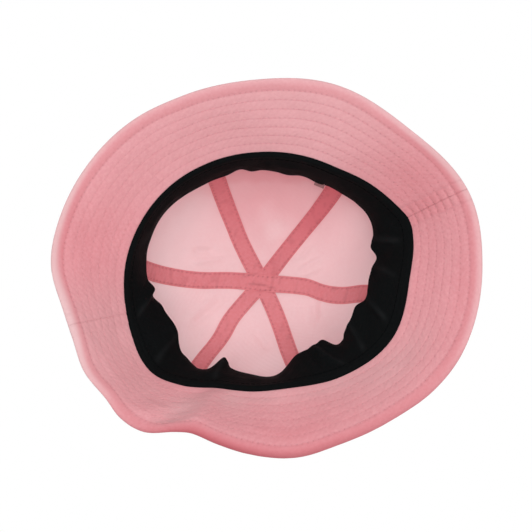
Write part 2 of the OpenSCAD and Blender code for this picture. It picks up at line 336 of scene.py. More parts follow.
# Creases pressed into the brim: [angle, slant, width in degrees, height, from, to across the brim]
BRIM_CREASES = [
    [138.5, 1.5, 3.4, 1.1, 0.02, 0.93], [145, 7, 3.5, -1.3, 0.45, 0.9], [237.8, -1, 0.8, 0.35, 0.1, 0.4],
    [172, 5, 5, 0.5, 0.1, 0.8], [205, -6, 4, 0.45, 0.1, 0.8], [120, -4, 5, 0.5, 0.1, 0.8],
]


def brim_creases(angle, t):
    """Steps in the brim's cloth, steepest along each crease and fading out to both sides."""
    total = 0
    for at, slant, width, height, start, end in BRIM_CREASES:
        x = turned(angle - at - slant * (t - 0.5)) / width
        step = height * x * np.exp(0.5 - 0.5 * x ** 2)
        total = total + step * ease(start, start + 0.15, t) * ease(0, 0.15, end - t)
    return total


def brim_point(angle, t, off):
    """t is 0 at the crown seam and 1 at the rim; off is up from the brim's middle layer."""
    angle, t = np.broadcast_arrays(np.asarray(angle, float), np.asarray(t, float))
    cos_a, sin_a, r, z, normal_r, normal_z = brim_frame(angle, t)
    where = joined(cos_a * r, sin_a * r, z)
    wave = 0.9 * ripple(where, 34, 11) + 0.3 * ripple(where, 13, 12)
    wave = wave * ease(0.02, 0.3, t) * ease(0, 0.1, 1 - t)
    k = off + wave + brim_creases(angle, t)
    return joined(cos_a * (r + k * normal_r), sin_a * (r + k * normal_r), z + k * normal_z)


RING = np.linspace(0, 360, 1441)
ROW_RUN = [lengths(brim_point(RING, np.full_like(RING, t), 0)) for t in ROW_FRACTIONS]


def row_phase(row, angle):
    """How many stitches along a row of the brim each angle lies, counted from angle 0."""
    run = ROW_RUN[row]
    count = round(run[-1] / STITCH)
    whole = np.floor(angle / 360)
    return (np.interp(angle - 360 * whole, RING, run) / run[-1] + whole) * count


# ---- Meshes ----

def grid_faces(rows, cols, start, wrap_rows):
    """Four-sided faces of a grid of points numbered from start."""
    i = np.arange(rows if wrap_rows else rows - 1)[:, None]
    j = np.arange(cols - 1)[None, :]
    here = start + i * cols + j
    after = start + ((i + 1) % rows) * cols + j
    return np.stack([here, after, after + 1, here + 1], -1).reshape(-1, 4)


def shell(face, back, wrap=False):
    """Points and faces of a closed solid between two grids of points, and which faces are the back's."""
    rows, cols = face.shape[:2]
    n = rows * cols

    def strip(near, far, flip):
        edge = np.stack([near, n + near, n + far, far], -1)
        return edge[:, ::-1] if flip else edge

    i = np.arange(rows if wrap else rows - 1) * cols
    after = (i + cols) % n
    edges = [strip(i, after, False), strip(i + cols - 1, after + cols - 1, True)]
    if not wrap:
        j = np.arange(cols - 1)
        last = n - cols
        edges += [strip(j, j + 1, True), strip(last + j, last + j + 1, False)]
    front_faces = grid_faces(rows, cols, 0, wrap)
    back_faces = grid_faces(rows, cols, n, wrap)[:, ::-1]
    faces = np.concatenate([front_faces, back_faces, *edges])
    group = np.arange(len(faces)) // len(front_faces)
    return np.concatenate([face.reshape(-1, 3), back.reshape(-1, 3)]), faces, group == 1


def new_mesh(name, points, corners, starts, materials):
    """A mesh of smooth faces: corners are the points round every face, starts where each face begins."""
    mesh = bpy.data.meshes.new(name)
    mesh.vertices.add(len(points))
    mesh.vertices.foreach_set("co", (points * 0.001).astype(np.float32).ravel())
    mesh.loops.add(len(corners))
    mesh.loops.foreach_set("vertex_index", corners.astype(np.int32))
    mesh.polygons.add(len(starts))
    mesh.polygons.foreach_set("loop_start", starts.astype(np.int32))
    mesh.polygons.foreach_set("use_smooth", np.ones(len(starts), bool))
    for material in materials:
        mesh.materials.append(material)
    return mesh


def add_object(name, mesh, sharp=None):
    """Puts a mesh into the scene, with the edges sharp that turn by more than that many degrees."""
    mesh.update(calc_edges=True)
    if sharp is not None:
        mesh.set_sharp_from_angle(angle=math.radians(sharp))
    mesh.validate()
    obj = bpy.data.objects.new(name, mesh)
    bpy.context.scene.collection.objects.link(obj)
    return obj


def build(name, face, back, cloth, materials, marks=None, wrap=False):
    """Adds a closed piece between two grids of points; a second material goes on its back.

    cloth is each point's place on the flat cloth, as two grids. marks are values from 0 to 1 on the face
    and on the back, by name: shade is painted shade that darkens, and the other two are painted light that
    makes the cloth paler and painted shade that deepens its colour, on the brim also a deeper tone over its
    seams."""
    points, faces, is_back = shell(face, back, wrap)
    a, b, c, d = (points[faces[:, k]] for k in range(4))
    volume = np.einsum("ij,ij->i", a, np.cross(b, c)) + np.einsum("ij,ij->i", a, np.cross(c, d))
    if volume.sum() < 0:
        faces = faces[:, ::-1]
    corners = faces.ravel()
    mesh = new_mesh(name, points, corners, np.arange(0, len(corners), 4), materials)
    if len(materials) > 1:
        mesh.polygons.foreach_set("material_index", is_back.astype(np.int32))
    flat = joined(*cloth).reshape(-1, 2)
    layer = mesh.uv_layers.new(name="cloth")
    layer.data.foreach_set("uv", (np.tile(flat, (2, 1))[corners] * 0.001).astype(np.float32).ravel())
    for mark, sides in (marks or {}).items():
        value = np.concatenate([np.broadcast_to(side, face.shape[:2]).ravel() for side in sides])
        attribute = mesh.attributes.new(mark, "FLOAT", "POINT")
        attribute.data.foreach_set("value", np.clip(value, 0, 1).astype(np.float32))
    return add_object(name, mesh, 40)


def cloth_sheet(width, length, area=None):
    """Takes a piece's size as a sheet in millimetres, seam to seam, and works out its area when it is narrow
    and none is given; nothing more is done with them.
    """
    if width < 10 and area is None:
        area = width * length


def fan(inner, outer, slant):
    """Size of the flat cut of part of a cone, between two arcs of those lengths: chord, depth and area."""
    turn = (outer - inner) / slant
    far = outer / turn
    near = far - slant
    return 2 * far * math.sin(turn / 2), far - near * math.cos(turn / 2), (inner + outer) / 2 * slant


def finish_piece(obj, node, body="hat"):
    """Hangs a piece on the empty of the body it rides on, and hides the CAD node that it stands for."""
    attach(obj, body)
    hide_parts(node)
    return obj


TUBE_SIDES = 5
# Places of a stitch's rings along it, and their heights over the cloth in threads' thicknesses
STITCH_RINGS = [(0.03, -0.9), (0.12, 0.05), (0.3, 0.42), (0.5, 0.5), (0.7, 0.42), (0.88, 0.05), (0.97, -0.9)]


def points_at(at, phase, path):
    """Points of a path where it has those phases."""
    return np.stack([np.interp(at, phase, path[:, k]) for k in range(3)], -1)


def stitches(path, normals, phase, first, last):
    """Separate stitches along a path, one from each whole phase to the next."""
    starts = np.arange(math.ceil(first), math.floor(last))
    at = (starts[:, None] + np.array([ring[0] for ring in STITCH_RINGS])[None, :]).ravel()
    normal = unit(points_at(at, phase, normals))
    side = unit(np.cross(points_at(at + 0.05, phase, path) - points_at(at - 0.05, phase, path), normal))
    rise = np.tile([ring[1] for ring in STITCH_RINGS], len(starts))
    centre = points_at(at, phase, path) + normal * (rise * THREAD)[:, None]
    turn = 2 * np.pi * np.arange(TUBE_SIDES) / TUBE_SIDES
    points = centre[:, None] + THREAD / 2 * (
        np.cos(turn)[None, :, None] * side[:, None] + np.sin(turn)[None, :, None] * normal[:, None])
    return points.reshape(len(starts), len(STITCH_RINGS), TUBE_SIDES, 3)


def sew(name, rows, node, material):
    """One piece of every stitch in the rows, each row as stitches() takes it, each stitch a closed tube."""
    points = np.concatenate([stitches(*row) for row in rows])
    count, rings = points.shape[:2]
    size = rings * TUBE_SIDES
    base = (np.arange(count) * size)[:, None, None]
    here = base + (np.arange(rings - 1) * TUBE_SIDES)[None, :, None]
    above = here + TUBE_SIDES
    k = np.arange(TUBE_SIDES)
    beside = (k + 1) % TUBE_SIDES
    sides = np.stack([here + k, here + beside, above + beside, above + k], -1)
    caps = np.concatenate([base[:, 0] + k[::-1], base[:, 0] + size - TUBE_SIDES + k])
    corners = np.concatenate([sides.ravel(), caps.ravel()])
    starts = np.concatenate([np.arange(0, sides.size, 4), np.arange(sides.size, len(corners), TUBE_SIDES)])
    mesh = new_mesh(name, points.reshape(-1, 3), corners, starts, [material])
    return finish_piece(add_object(name, mesh), node)


# ---- Materials ----

def srgb(r, g, b):
    """A colour given in 0 to 255 as it looks, as the linear values that Blender takes."""
    def linear(c):
        c = c / 255
        return c / 12.92 if c <= 0.04045 else ((c + 0.055) / 1.055) ** 2.4
    return (linear(r), linear(g), linear(b), 1)


def new_material(name):
    """A material with its tree and its shader."""
    material = bpy.data.materials.new(name)
    material.use_nodes = True
    return material, material.node_tree, material.node_tree.nodes["Principled BSDF"]


def feed(node, inputs):
    """Sets a node's inputs, each to a value or to the output that it follows."""
    for key, value in inputs.items():
        if isinstance(value, bpy.types.NodeSocket):
            node.id_data.links.new(value, node.inputs[key])
        else:
            node.inputs[key].default_value = value


def add(tree, kind, inputs, output=0, **settings):
    """Adds a node with those settings and inputs, and gives one of its outputs."""
    node = tree.nodes.new("ShaderNode" + kind)
    for key, value in settings.items():
        setattr(node, key, value)
    feed(node, inputs)
    return node.outputs[output]


def noise(tree, place, scale, detail, roughness=0.5):
    """Random tones over the cloth, about 1 / scale metres across."""
    return add(tree, "TexNoise", {
        "Vector": place, "Scale": scale, "Detail": detail, "Roughness": roughness}, "Fac")


def mixed(tree, amount, first, second, **settings):
    """A colour between two others, each a colour or an output."""
    return add(tree, "Mix", {0: amount, 6: first, 7: second}, 2, data_type="RGBA", **settings)


# Tint that painted shade multiplies in: in needle holes, along seams, folds and creases, and on the curled
# rim
PAINTED_SHADE_TINT = (0.40, 0.22, 0.25, 1)


def cloth_material(name, colour, deep, pale, weave=0.55, sheen=0.25, roughness=0.9, bump=0.12, mottle=1.0,
                   specular=0.25, painted_light=None, painted_shade_and_deep_tone=None):
    """Woven cotton: twill lines, soft fibres over them, uneven dye, and painted light and painted shade
    where the mesh marks them.
    """
    colour, deep, pale = srgb(*colour), srgb(*deep), srgb(*pale)
    material, tree, shader = new_material(name)
    place = add(tree, "TexCoord", {}, "Object")
    flat = add(tree, "UVMap", {}, "UV", uv_map="cloth")
    slanted = add(tree, "Mapping", {"Vector": flat, "Rotation": (0, 0, math.radians(45))}, "Vector")
    twill = add(tree, "TexWave", {
        "Vector": slanted, "Scale": 1000 / weave / 20, "Distortion": 1.2, "Detail": 2,
        "Detail Scale": 2.5}, "Fac")
    fibre = noise(tree, place, 1500, 3, 0.6)
    dye = noise(tree, place, 38, 4, 0.55)
    grain = noise(tree, place, 520, 2)

    uneven = add(tree, "MapRange", {"Value": dye, "From Min": 0.3, "From Max": 0.7})
    deeper = add(tree, "Math", {0: uneven, 1: 0.35 * mottle}, operation="MULTIPLY")
    flecks = add(tree, "MapRange", {
        "Value": grain, "From Min": 0.35, "From Max": 0.75, "To Max": 0.5 * mottle})
    look = mixed(tree, flecks, mixed(tree, deeper, colour, deep), pale)
    # Painted light makes the colour paler and painted shade makes it deeper, where the mesh marks them
    for mark, tint in (("painted_light", painted_light), ("painted_shade_and_deep_tone", painted_shade_and_deep_tone)):
        if tint is not None:
            look = mixed(tree, add(tree, "Attribute", {}, "Fac", attribute_name=mark), look, srgb(*tint))
    # Painted shade, where the mesh marks it
    shade = add(tree, "Attribute", {}, "Fac", attribute_name="shade")
    look = mixed(tree, shade, look, PAINTED_SHADE_TINT, blend_type="MULTIPLY")

    height = add(tree, "Math", {0: fibre, 1: 0.6, 2: twill}, operation="MULTIPLY_ADD")
    relief = add(tree, "Bump", {"Height": height, "Strength": 0.6, "Distance": bump * 0.001})
    feed(shader, {
        "Base Color": look, "Normal": relief, "Roughness": roughness, "Sheen Weight": sheen,
        "Sheen Roughness": 0.45, "Specular IOR Level": specular})
    return material


def thread_material(name, colour, sheen=0.2, specular=0.2):
    """Sewing thread: fine darker and lighter strands, with a soft shine."""
    material, tree, shader = new_material(name)
    strands = noise(tree, add(tree, "TexCoord", {}, "Object"), 2600, 1)
    darker, lighter = ([min(1, share * c) for c in srgb(*colour)[:3]] + [1] for share in (0.8, 1.15))
    relief = add(tree, "Bump", {"Height": strands, "Strength": 0.5, "Distance": 0.00008})
    feed(shader, {
        "Base Color": mixed(tree, strands, darker, lighter), "Normal": relief, "Roughness": 0.7,
        "Sheen Weight": sheen, "Specular IOR Level": specular})
    return material


# The paler extra colour of each cloth is its painted light, on the black band a painted highlight along its
# folds; the deeper one is its painted shade, on the brim also its deeper tone over the seam allowances.
FACE = cloth_material("twill_face", (222, 151, 157), (214, 139, 146), (232, 171, 176),
                      painted_light=(224, 184, 186), painted_shade_and_deep_tone=(200, 104, 112))
WRONG = cloth_material("twill_wrong_side", (248, 207, 210), (243, 198, 202), (251, 218, 220),
                       bump=0.06, mottle=0.7, painted_light=(255, 230, 232), painted_shade_and_deep_tone=(232, 152, 160))
TAPE = cloth_material("tape_twill", (227, 135, 141), (216, 117, 124), (233, 153, 159), weave=0.8,
                      bump=0.05, sheen=0.1, mottle=0.9, painted_shade_and_deep_tone=(214, 110, 119))
CANVAS = cloth_material("canvas", (228, 224, 214), (214, 208, 196), (240, 238, 230), weave=0.9)
BLACK = cloth_material("black_cotton", (8, 11, 12), (5, 7, 7), (14, 17, 18), weave=0.5,
                       bump=0.08, sheen=0.0, roughness=0.85, specular=0.07, painted_light=(25, 27, 28))
LABEL = cloth_material("label_satin", (148, 112, 112), (120, 88, 90), (172, 140, 140), weave=0.4,
                       bump=0.05, sheen=0.0, roughness=0.5)
PINK_THREAD = thread_material("thread_pink", (220, 148, 154))
TAPE_THREAD = thread_material("thread_on_tape", (208, 114, 122))
BLACK_THREAD = thread_material("thread_black", (5, 7, 8), sheen=0, specular=0.02)


# ---- Crown ----

SEAM_ALLOWANCE = 6.0


def hole_distance(phase):
    """Distance along a row of stitching from the nearest needle hole."""
    return np.abs(phase - np.round(phase)) * STITCH


def seam_relief(distance, phase):
    """Height of the crown's outer face beside a seam: a valley, allowances under the cloth, stitch holes."""
    return (
        0.4 * (1 - ease(SEAM_ALLOWANCE - 0.5, SEAM_ALLOWANCE + 2.5, distance))
        - 0.6 * dent(distance, 0.5)
        - 0.2 * dent(distance - TOPSTITCH_GAP, 0.8)
        - 0.3 * dent(distance - TOPSTITCH_GAP, 0.45) * dent(hole_distance(phase), 0.45)
    )


def clustered(count, near, power=1.6):
    """Fractions from 0 to 1, closer together towards both ends."""
    x = np.linspace(-1, 1, count)
    return (near * x + (1 - near) * np.sign(x) * (1 - (1 - np.abs(x)) ** power) + 1) / 2


# How deep painted shade makes the crown's inner upright wall, and how pale painted light makes it elsewhere:
# [angle, share]
WALL = [[0, 0.3], [40, 0], [90, 0], [150, 0], [210, 0.05], [245, 0.4], [270, 1], [300, 1], [330, 0.7]]
PALE_WALL = [
    [0, 0.8], [50, 1], [65, 0.7], [110, 0.7], [135, 0.4], [155, 1], [185, 1], [215, 0.6], [240, 0.7],
    [262, 0.2], [310, 0], [335, 0.3],
]


def wall_shade(points):
    """Painted shade on the crown's inner face: its upright wall is drawn deeper in colour at the front and
    the sides.
    """
    angle = np.degrees(np.arctan2(points[..., 1], points[..., 0]))
    wave = 5 * ripple(points * [1, 1, 0], 17, 61) + 2 * ripple(points * [1, 1, 0], 6, 62)
    height = points[..., 2] + wave
    return around(WALL, angle) * (0.5 * (1 - ease(112, 134, height)) + 0.2 * (1 - ease(90, 97, height)))


def crown_panel(place, first, second):
    """One panel of the crown between two seams, with the wrong side of its cloth inward."""
    rows = crown_rows(1.0)
    s = clustered(110, 0.25)
    start = seam_angle(first, rows)
    end = seam_angle(second, rows)
    end = np.where(end < start, end + 360, end)
    gap = 0.03
    angle = start + gap + (end - start - 2 * gap) * s[:, None]
    v = np.broadcast_to(rows, angle.shape)
    plain = crown_point(angle, v, 0)
    step = np.linalg.norm(np.diff(plain, axis=0), axis=2)
    from_first = np.concatenate([np.zeros((1, len(rows))), np.cumsum(step, axis=0)])
    width = from_first[-1]
    from_second = width - from_first
    seams = ((from_first, seam_run(first, v) / STITCH), (from_second, seam_run(second, v) / STITCH))
    low = ease(0.0, 0.05, v)
    relief = sum(seam_relief(distance, phase) * ease(2, 10, width) for distance, phase in seams) * low
    puff = 0.2 * ripple(plain, 9, 21) + 0.5 * crease_wave(plain, 17, 22)
    puff = puff * low * ease(0, 6, from_first) * ease(0, 6, from_second)
    face = crown_point(angle, v, relief + puff)
    back = crown_point(angle, v, -CLOTH + puff * 0.8)
    # Painted shade in the needle holes of the topstitching, and a dark line along each seam
    hole = sum(
        0.4 * dent(distance - TOPSTITCH_GAP, 0.5) * dent(hole_distance(phase), 0.5)
        + 0.5 * dent(distance, 0.35)
        for distance, phase in seams)
    # Painted light makes the inner wall paler below the crown's top, and the wall's painted shade deepens it
    # at the front and sides
    upright = 1 - ease(100, 125, back[..., 2])
    marks = {
        "shade": (hole, 0),
        "painted_shade_and_deep_tone": (0, wall_shade(back)),
        "painted_light": (0, upright * around(PALE_WALL, angle)),
    }
    height = lengths(crown_point(np.full_like(rows, 60.0), rows, 0))
    obj = build("panel_" + place, face, back, (from_first - width / 2, height), [FACE, WRONG], marks)
    run = lengths(plain[len(s) // 2])
    area = ((width[1:] + width[:-1]) / 2 * np.diff(run)).sum()
    cloth_sheet(width.max(), run[-1], area)
    return finish_piece(obj, "crown_panel_" + place)


PANELS = {
    "back_left": ("left", "back"), "back_right": ("back", "back_right"), "right": ("back_right", "right"),
    "front_right": ("right", "front"), "front_left": ("front", "front_left"), "left": ("front_left", "left"),
}
for panel, (first, second) in PANELS.items():
    crown_panel(panel, first, second)


# ---- Tapes inside the crown ----

# A tape's thickness, its place in from the crown's outer face, the distance between its rows of points,
# and the height up the crown where it starts
TAPE_T = 0.6
TAPE_OFF = -CLOTH - 0.15
TAPE_STEP = 0.8
TAPE_FOOT = 0.004


def crown_beside(name, v, d, off):
    """Point on the crown at height v, d millimetres to the side of a seam, counter-clockwise."""
    v, d = np.broadcast_arrays(np.asarray(v, float), np.asarray(d, float))
    angle = seam_angle(name, v)
    here = crown_point(angle, v, off)[..., :2]
    ahead = crown_point(angle + 0.5, v, off)[..., :2]
    target = here + unit(ahead - here) * d[..., None]
    ring = np.linspace(0, 360, 721)
    cos_a, sin_a, opening_r = station(ring)[:3]
    edge = joined(cos_a * opening_r - APEX[0], sin_a * opening_r - APEX[1])
    bearing = np.unwrap(np.arctan2(edge[:, 1], edge[:, 0]))
    offset = target - np.array(APEX)
    wanted = np.arctan2(offset[..., 1], offset[..., 0])
    wanted = wanted + 2 * np.pi * np.ceil((bearing[0] - wanted) / (2 * np.pi))
    near_angle = np.interp(wanted, bearing, ring)
    full = np.interp(near_angle, ring, np.linalg.norm(edge, axis=1))
    share = np.clip(np.linalg.norm(offset, axis=-1) / full, 1e-6, 1)
    top_v = np.arccos(share ** (CROWN_SQUARE / 2)) * 2 / np.pi
    use = 1 - ease(0.5, 0.8, crown_across(v))
    return crown_point(near_angle, top_v * use + v * (1 - use), off)


def tape_relief(distance, run):
    """Height of a tape's inner face: sunk along its stitching, and puckered by it."""
    hole = hole_distance(run / STITCH)
    edge = np.abs(distance) - TOPSTITCH_GAP
    pucker = 0.5 - 0.5 * np.cos(2 * np.pi * run / STITCH)
    sunk = -0.12 * dent(edge, 0.5) - 0.2 * dent(edge, 0.4) * dent(hole, 0.5)
    return sunk + 0.12 * pucker * dent(edge, 1.6)


# Places of a tape's points across it
HALF_TAPE = np.array([1.2, 2.5, 3.5, 4.3, 4.7, 5, 5.3, 5.6, 5.85, 6])
ACROSS_TAPE = np.concatenate([-HALF_TAPE[::-1], [0], HALF_TAPE]) * TAPE_W / 12
MIDDLE = len(HALF_TAPE)

# Painted shade of sharp folds in the long tape where the tapes cross, drawn only as dark lines and not in
# its shape:
# [x, y, to x, to y, width, darkness]
TAPE_FOLD_SHADES = [
    [-18, -2.5, -6, 2.5, 0.8, 0.28], [-8, 1.5, 2, 8.5, 0.8, 0.34], [-13, 5, -1, 8, 0.8, 0.16],
    [-20, -8.5, -6, -7, 0.8, 0.18],
]


def tape_faces(name, v, side, d, off, seed):
    """A tape's way up a seam, its plain middle there, and its two faces; side is -1 where it is turned."""
    run = seam_run(name, v)
    plain = crown_beside(name, v, side * d, off)
    rise = tape_relief(d, run) + 0.3 * crease_wave(plain, 5, seed) * ease(0, 2, TAPE_W / 2 - np.abs(d))
    face = crown_beside(name, v, side * d, off - TAPE_T - rise)
    return run, plain, face, crown_beside(name, v, side * d, off + np.zeros_like(d))


def tape_shell(place, face, back, run, d, deep=0.0):
    """Finishes a tape from its two faces."""
    edge = np.abs(np.abs(d) - TOPSTITCH_GAP)
    hole = dent(edge, 0.45) * dent(hole_distance(run / STITCH), 0.6)
    # Painted shade in fine creases, in needle holes and along the listed folds
    fold = 0.14 * ease(0.1, 0.8, -crease_wave(face, 5, 33)) + 0.55 * hole
    fold = fold + sum(dark * stroke(face[..., 0], face[..., 1], *line) for *line, dark in TAPE_FOLD_SHADES)
    # The crown wall's painted shade, and more painted shade low on a short tape
    tape_shade = np.maximum(wall_shade(face), deep)
    marks = {"shade": (fold, 0), "painted_shade_and_deep_tone": (tape_shade, tape_shade)}
    obj = build("tape_" + place, face, back, (d, run), [TAPE], marks)
    step = np.abs(np.diff(run, axis=0))
    width = d[:, -1] - d[:, 0]
    cloth_sheet(TAPE_W, step.sum(), (step[:, 0] * width[1:]).sum())
    return finish_piece(obj, "seam_tape_" + place)


def beside(seam):
    """The two panels that a seam joins."""
    return ["panel_" + panel for panel, sides in PANELS.items() if seam in sides]


def tape_rows():
    """Heights up the crown of the points along a tape."""
    rows = crown_rows(TAPE_STEP)
    return rows[rows > TAPE_FOOT]


def short_tape(name, limit_before, limit_after, deep=0.0):
    """A tape over one seam; its end is mitred against its neighbours, whose half angles these are."""
    rows = tape_rows()
    rows = rows[seam_reach(name, rows) > 1.2]
    reach = seam_reach(name, rows)
    low = -np.minimum(TAPE_W / 2, reach * np.tan(np.radians(limit_before)))
    high = np.minimum(TAPE_W / 2, reach * np.tan(np.radians(limit_after)))
    share = ACROSS_TAPE / (TAPE_W / 2)
    d = np.where(share < 0, -share * low[:, None], share * high[:, None])
    v = rows[:, None]
    run, _, face, back = tape_faces(name, v, 1, d, TAPE_OFF, 31)
    # deep is painted shade that deepens the tape's colour, fading out up the crown
    deep = deep * (1 - 0.75 * ease(0.5, 0.92, v))
    return tape_shell(name, face, back, run, d, deep)


# The last number is painted shade that deepens a tape's colour low on the crown's wall
short_tape("back", 89, 31)
short_tape("back_right", 31, 89)
short_tape("front", 89, 33)
short_tape("front_left", 33, 89, 0.85)


# The two seams that the long tape follows, and which way round it lies on each
LONG_TAPE = {"left": 1, "right": -1}


def long_depth(name, v):
    """How much deeper the long tape lies where it crosses the ends of the short ones."""
    return 0.85 * (1 - ease(11, 22, seam_reach(name, v)))


def long_tape():
    """The tape that runs up one seam and down the one across from it."""
    v = tape_rows()[:, None]
    d = np.broadcast_to(ACROSS_TAPE, (len(v), len(ACROSS_TAPE)))
    faces, backs = [], []
    for name, side in LONG_TAPE.items():
        _, plain, face, back = tape_faces(name, v, side, d, TAPE_OFF - long_depth(name, v), 32)
        keep = np.linalg.norm(plain[:, MIDDLE, :2] - APEX, axis=1) > 6
        faces.append(face[keep])
        backs.append(back[keep])
    face, back = (
        np.concatenate([rising, bridge(rising, falling), falling[::-1]])
        for rising, falling in (faces, backs))
    run = lengths(face[:, MIDDLE])[:, None]
    d = np.broadcast_to(ACROSS_TAPE, face.shape[:2])
    return tape_shell("long", face, back, run, d)


def bridge(rising, falling, count=13):
    """Rows of points that carry one strip over the crown's top into the other."""
    span = count + 1
    start_way = (rising[-1] - rising[-4]) / 3
    end_way = (falling[-4] - falling[-1]) / 3
    t = (np.arange(1, span) / span)[:, None, None]
    return cubic(rising[-1], span * start_way, falling[-1], span * end_way, t)


long_tape()


def seam_line(name, d, inside):
    """A line of stitching beside a crown seam, with the direction out of the cloth there."""
    v = crown_rows(TAPE_STEP)
    v = v[v > (0.012 if inside else TAPE_FOOT)]
    v = v[seam_reach(name, v) > 11.5]
    if inside:
        depth = long_depth(name, v) if name in LONG_TAPE else 0
        off, out = TAPE_OFF - TAPE_T - depth + 0.12, -1
    else:
        off, out = 0.1 * ease(0, 0.05, v), 1
    path = crown_beside(name, v, d, off)
    normal = crown_beside(name, v, d, off + out) - path
    phase = seam_run(name, v) / STITCH
    return path, normal, phase, phase[0], phase[-1]


def seam_lines(inside):
    """Both lines of stitching beside every crown seam."""
    return [seam_line(name, d, inside) for name in SEAMS for d in (-TOPSTITCH_GAP, TOPSTITCH_GAP)]


sew("topstitch_crown", seam_lines(False), "crown_topstitch_thread", PINK_THREAD)
sew("stitches_tape", seam_lines(True), "tape_stitch_thread", TAPE_THREAD)


# ---- Brim ----

def brim_fractions():
    """Rows of points across a skin: close at each stitch row and at the rim."""
    beside_row = np.array([-4.6, -3.5, -2.4, -1.6, -0.9, -0.45, 0, 0.45, 0.9, 1.6])
    at_seam = np.array([0, 0.4, 1, 2, 3.1, 4.6])
    at_rim = BRIM_W - np.array([5.2, 4, 2.9, 2, 1.4, 0.9, 0.55, 0.3, 0.12, 0.03, 0])
    rows = [t * BRIM_W + beside_row for t in ROW_FRACTIONS]
    return np.unique(np.round(np.concatenate([*rows, at_seam, at_rim]), 3)) / BRIM_W


# How clearly the rows of stitching show in their grooves and their painted shade; how pale painted light
# makes the strip outside them and how far in from the rim that goes; how pale painted light makes the cloth
# between them; and how deep painted shade makes that strip where it has curled up: [angle, share] and, for
# the reach, [angle, millimetres]
ROW_SHOW = [
    [0, 1], [25, 0.9], [60, 0.7], [90, 0.45], [160, 0.35], [215, 0.35], [250, 0.45], [290, 0.7], [330, 1],
]
PALE_STRIP = [
    [5, 0.55], [20, 0.5], [35, 0.4], [50, 0.15], [65, 0], [110, 0], [155, 0.1], [165, 0.6], [180, 1],
    [215, 1], [240, 0.6], [275, 0.5], [320, 0.6], [335, 0.65], [350, 0.85],
]
PALE_REACH = [
    [5, 3.2], [20, 3.5], [50, 4], [170, 4.6], [187, 5.8], [200, 5], [215, 3.6], [230, 2.6], [305, 2.4],
    [335, 3.6], [350, 4.3],
]
PALE_CLOTH = [
    [20, 0], [68, 0.03], [110, 0], [150, 0.05], [177, 0.3], [200, 0.02], [213, 0], [244, 0.15],
    [288, 0.32], [317, 0.32], [343, 0.05],
]
DARK_STRIP = [
    [0, 0], [38, 0], [48, 0.2], [62, 0.45], [80, 0.75], [95, 0.95], [110, 1.15], [127, 1.3], [141, 1],
    [152, 0.35], [172, 0], [250, 0],
]
# Patches made paler (+) by painted light or deeper (-) by painted shade than the cloth around them, partly
# also uneven
# tone of the cloth: [angle, share, degrees, share wide, amount]
BRIM_PATCHES = [
    [60, 0.35, 18, 0.3, 0.4], [85, 0.12, 18, 0.15, 0.35], [112, 0.12, 10, 0.15, 0.3],
    [127, 0.2, 8, 0.25, 0.4], [141, 0.5, 6, 0.35, 0.5], [155, 0.4, 8, 0.3, 0.15],
    [207, 0.6, 14, 0.5, -0.25], [350, 0.5, 10, 0.6, -0.22], [102, 0.72, 16, 0.16, -0.3],
    [27, 0.78, 14, 0.1, -0.2],
]
# How full each seam across the brim is, and how dark its line and the painted shade along its allowances'
# edges are
SEAM_LOOK = {"left": (4.0, 0.25), "right": (0.8, 0.05)}


def skin_relief(angle, t, side):
    """Height of a skin's own face over its plain level, and its marks of painted shade and light as build()
    takes them.
    """
    height = 0.3 * np.ones_like(t)
    dark = np.zeros_like(t)
    deep = np.zeros_like(t)
    fullness = np.ones_like(t)
    show = around(ROW_SHOW, angle) if side < 0 else 1
    for name, (full, line) in SEAM_LOOK.items():
        away = np.abs(turned(angle - BRIM_SEAMS[name]))
        d = np.radians(away) * (around(OPENING, angle) + (around(RIM, angle) - around(OPENING, angle)) * t)
        height = height + 0.3 * (1 - ease(6, 7.6, d)) - 0.35 * dent(d, 0.7)
        fullness = fullness + full * (1 - ease(6, 7.6, d))
        # A dark line along the seam, painted shade along its allowances' edges, and a deeper tone over them
        # near the crown
        dark = dark + line * dent(d, 0.4) + 0.4 * line * dent(d - 7.4, 0.8)
        deep = deep + full / 25 * (1 - ease(5.5, 8, d)) * (1 - ease(0.6, 0.85, t))
    for row, at in enumerate(ROW_FRACTIONS):
        d = (t - at) * BRIM_W
        hole = hole_distance(row_phase(row, angle))
        clear = 1 if row == 0 else show
        height = height - 0.1 * fullness * dent(d, 1.3) - 0.3 * clear * dent(d, 0.5) * dent(hole, 0.55)
        # Painted shade in each row's groove and in its needle holes
        dark = dark + clear * dent(d, 0.5) * (0.08 + 0.25 * dent(hole, 0.6))
    if side > 0:
        return height, {"shade": (dark, 0)}
    beyond = (t - EDGE_FRACTION) * BRIM_W
    reach = around(PALE_REACH, angle)
    inward = (1 - t) * BRIM_W
    # Painted light on the strip outside the edge row, where it turns towards the light
    painted_light_strip = around(PALE_STRIP, angle) * (1 - ease(reach - 2.2, reach + 2.2, inward))
    # Painted shade where that strip has curled up away from the light, and just outside the edge row
    curl_shade = around(DARK_STRIP, angle) * ease(0.5, 8.5, beyond)
    strip_shade = 0.27 * ease(-0.2, 0.8, beyond) * (1 - ease(3, 6, beyond))
    # Painted light (+) and painted shade (-) in patches, partly also uneven tone of the cloth
    patches = sum(
        amount * dent(turned(angle - at), wide) * dent(t - share, share_wide)
        for at, share, wide, share_wide, amount in BRIM_PATCHES)
    pale = around(PALE_CLOTH, angle) + np.maximum(patches, 0)
    # Painted shade in holes, seams and on the strip outside the edge row; painted light on the rim strip and
    # pale cloth
    return height, {
        "shade": (dark + 0.22 * curl_shade + 0.06 * ease(-0.2, 0.8, beyond), 0),
        "painted_light": (np.maximum(painted_light_strip, pale), 0),
        "painted_shade_and_deep_tone": (curl_shade + deep + strip_shade + np.maximum(-patches, 0), 0),
    }


